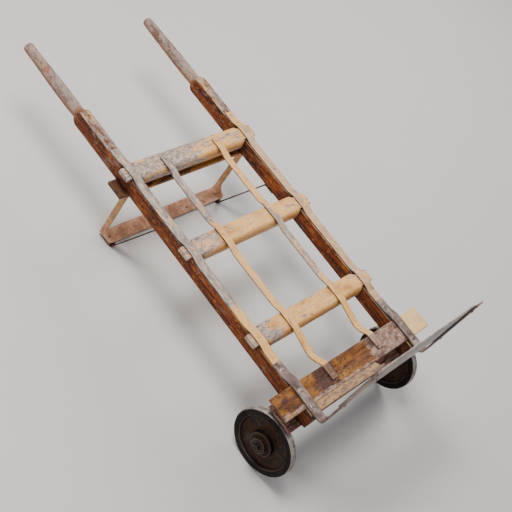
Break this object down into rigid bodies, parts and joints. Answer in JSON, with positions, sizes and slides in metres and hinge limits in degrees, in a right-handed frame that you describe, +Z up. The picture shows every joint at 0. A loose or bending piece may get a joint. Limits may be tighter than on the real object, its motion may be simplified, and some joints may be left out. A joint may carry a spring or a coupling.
{
  "type": "hand truck",
  "caption": "Old wooden hand truck with turned handles, crowned crossbars, riveted iron straps, an upright toe plate, cast wheels and a rear leg.",
  "frame": {"origin": "on the floor, in the middle of the whole truck's length and width, with the truck lying on its wheels and its rear leg", "axes": "+Z up, +Y from the toe plate to the handles, +X to the right when looking towards the handles"},
  "size_m": [0.666, 1.4036, 0.548],
  "materials": {
    "rail_wood": "worn reddish timber with the remains of cream paint",
    "crossbar_wood": "worn cream and mustard paint over timber",
    "board_wood": "ochre paint worn down to dark, stained timber",
    "plank_wood": "faded pinkish cream paint over timber",
    "strap_iron": "worn cream paint over iron",
    "toe_iron": "bare, dark iron rubbed bright at its edges",
    "leg_iron": "faded pinkish paint with light rust",
    "axle_iron": "dark, dry iron",
    "wheel_iron": "dark iron, tread worn grey",
    "fastener_iron": "dull iron heads with traces of paint"
  },
  "bodies": {
    "frame": {"left_rail": "rail_wood", "right_rail": "rail_wood", "top_crossbar": "crossbar_wood", "middle_crossbar": "crossbar_wood", "lower_crossbar": "crossbar_wood", "leg_crosspiece": "plank_wood", "axle_board": "board_wood", "under_board": "plank_wood", "toe_strip": "plank_wood", "left_outer_strap": "strap_iron", "right_outer_strap": "strap_iron", "left_inner_strap": "strap_iron", "right_inner_strap": "strap_iron", "left_nose_arm": "toe_iron", "right_nose_arm": "toe_iron", "toe_plate": "toe_iron", "rear_leg": "leg_iron", "left_leg_brace": "leg_iron", "right_leg_brace": "leg_iron", "left_axle_bracket": "axle_iron", "right_axle_bracket": "axle_iron", "axle": "axle_iron", "hub_washers": "axle_iron", "cotter_pins": "axle_iron", "strap_rivets": "fastener_iron", "arm_bolts": "fastener_iron", "arm_nuts": "fastener_iron", "plate_rivets": "fastener_iron", "leg_screws": "fastener_iron", "foot_rivets": "fastener_iron"},
    "left_wheel_body": {"left_wheel": "wheel_iron"},
    "right_wheel_body": {"right_wheel": "wheel_iron"}
  },
  "joints": [
    {"name": "left_wheel_spin", "type": "hinge", "parent": "frame", "child": "left_wheel_body", "pos_m": [-0.2905, -0.6002, 0.1016], "axis": [1, 0, 0], "continuous": true},
    {"name": "right_wheel_spin", "type": "hinge", "parent": "frame", "child": "right_wheel_body", "pos_m": [0.2905, -0.6002, 0.1016], "axis": [1, 0, 0], "continuous": true}
  ]
}
